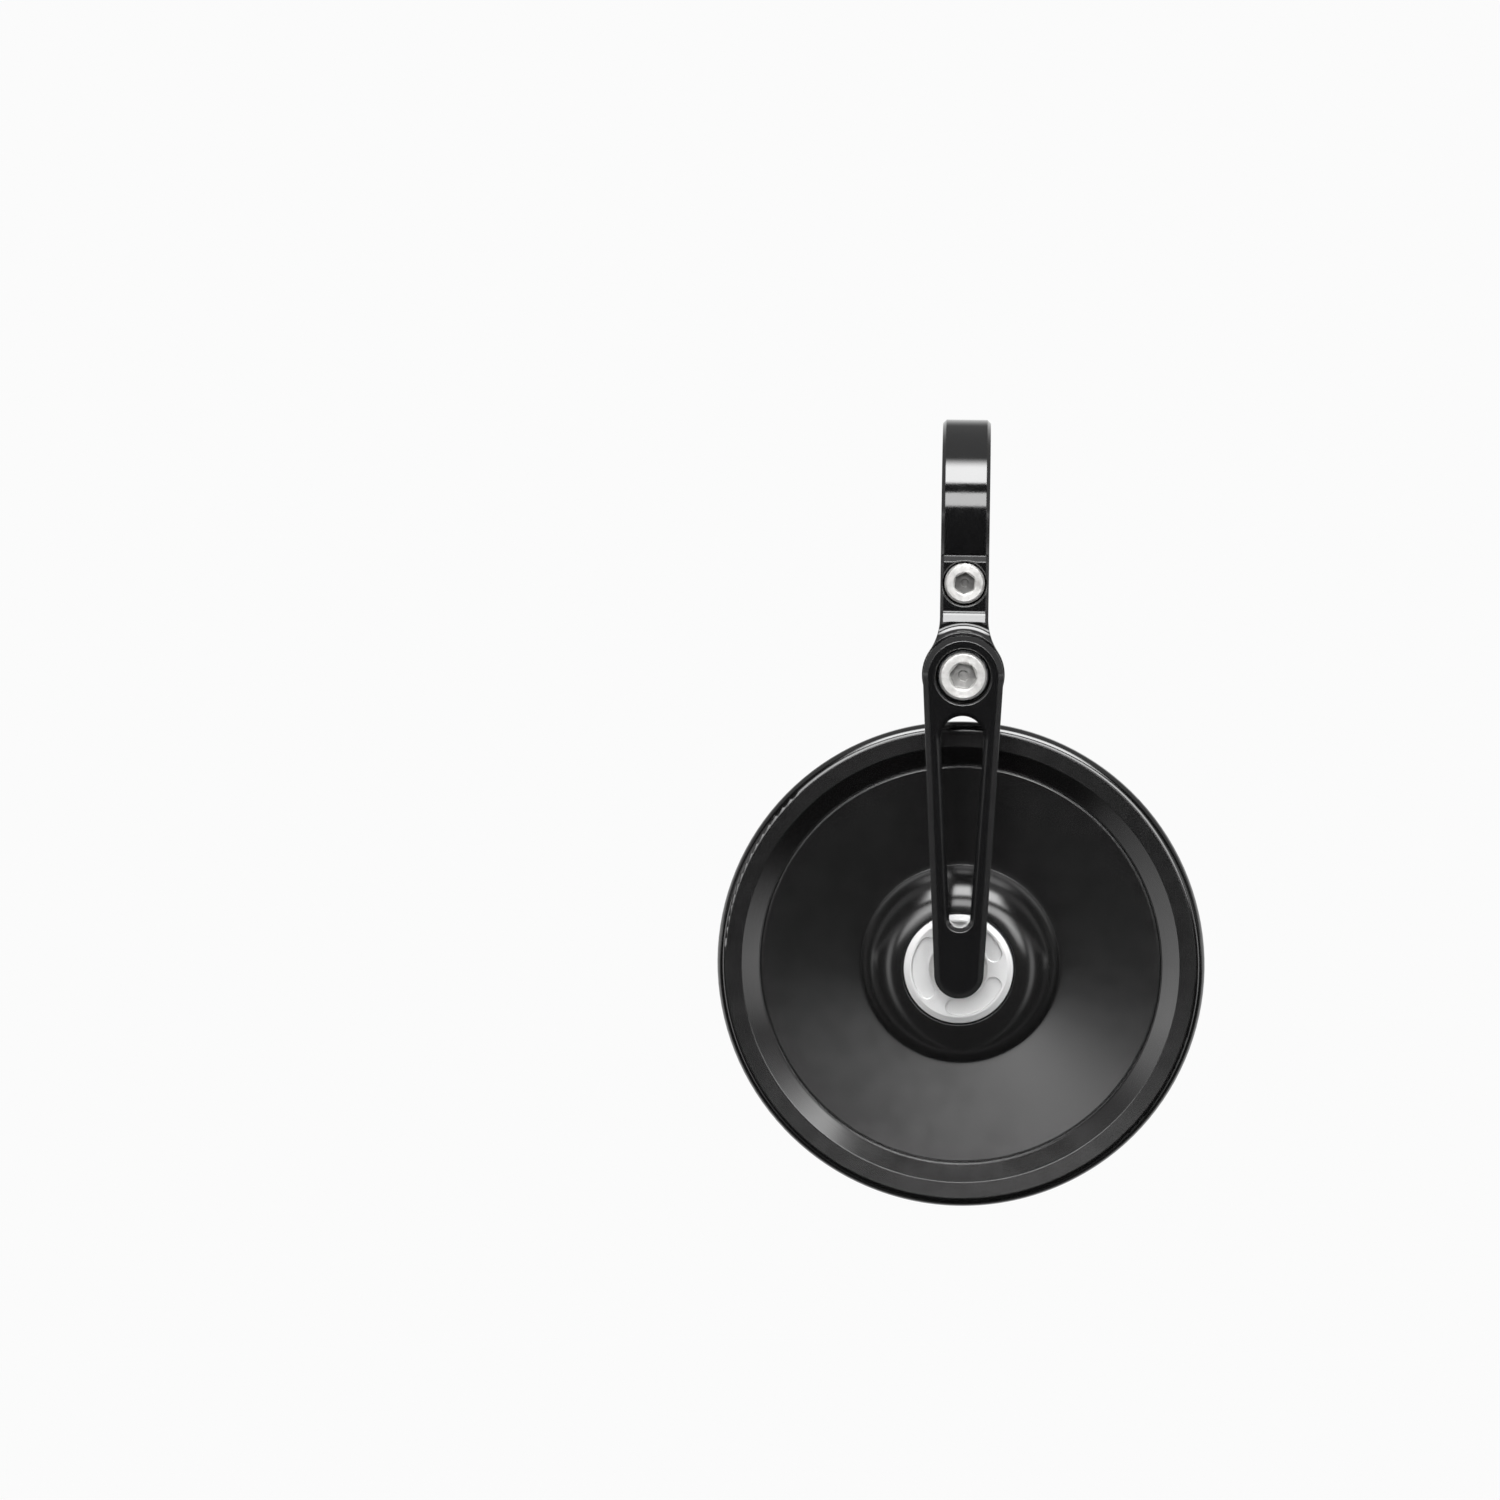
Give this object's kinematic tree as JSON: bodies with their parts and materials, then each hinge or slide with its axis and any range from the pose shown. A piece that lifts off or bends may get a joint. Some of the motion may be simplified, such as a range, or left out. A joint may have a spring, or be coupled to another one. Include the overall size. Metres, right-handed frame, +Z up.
{
  "type": "handlebar mirror",
  "caption": "Round convex mirror on a windowed arm, with a split handlebar clamp, a friction pivot and a ball joint behind the dished head.",
  "frame": {"origin": "centre of the clamp's bore, on the handlebar's axis and midway across the clamp's width", "axes": "+X along the handlebar, +Y towards the rider whom the glass faces, +Z up from the head to the bar"},
  "size_m": [0.104, 0.0488, 0.168],
  "materials": {
    "black_anodised": "gloss black anodised",
    "black_satin": "turned, satin black anodised",
    "silver_nut": "bead blasted, clear anodised",
    "stainless": "bright stainless",
    "spring_steel": "oiled spring steel",
    "seat_plastic": "natural acetal",
    "pad_foam": "foam bonding tape",
    "mirror_face": "silvered convex glass"
  },
  "bodies": {
    "clamp": {"clamp_body": "black_anodised", "clamp_screw": "stainless", "friction_washer": "seat_plastic", "pivot_disc_spring": "spring_steel", "pivot_screw": "stainless"},
    "arm": {"arm": "black_anodised", "pivot_bush": "seat_plastic", "ball_stud": "stainless"},
    "seat_rear": {"rear_ball_seat": "seat_plastic"},
    "seat_front": {"front_ball_seat": "seat_plastic"},
    "head": {"adjuster_nut": "silver_nut", "pressure_cup": "stainless", "seat_spring": "spring_steel", "head_housing": "black_satin", "bonding_pad": "pad_foam", "mirror_glass": "mirror_face"}
  },
  "joints": [
    {"name": "arm_swing", "type": "hinge", "parent": "clamp", "child": "arm", "pos_m": [0, -0.0226, -0.0332], "axis": [0, 1, 0], "range_deg": [-60, 60]},
    {"name": "head_yaw", "type": "hinge", "parent": "arm", "child": "seat_rear", "pos_m": [0, -0.015, -0.0958], "axis": [0, 0, 1], "range_deg": [-12.7, 17.3]},
    {"name": "head_pitch", "type": "hinge", "parent": "seat_rear", "child": "seat_front", "pos_m": [0, -0.015, -0.0958], "axis": [0.9992, -0.0401, 0], "range_deg": [-18, 8]},
    {"name": "head_spin", "type": "hinge", "parent": "seat_front", "child": "head", "pos_m": [0, -0.015, -0.0958], "axis": [0.0401, 0.9992, 0], "continuous": true}
  ]
}
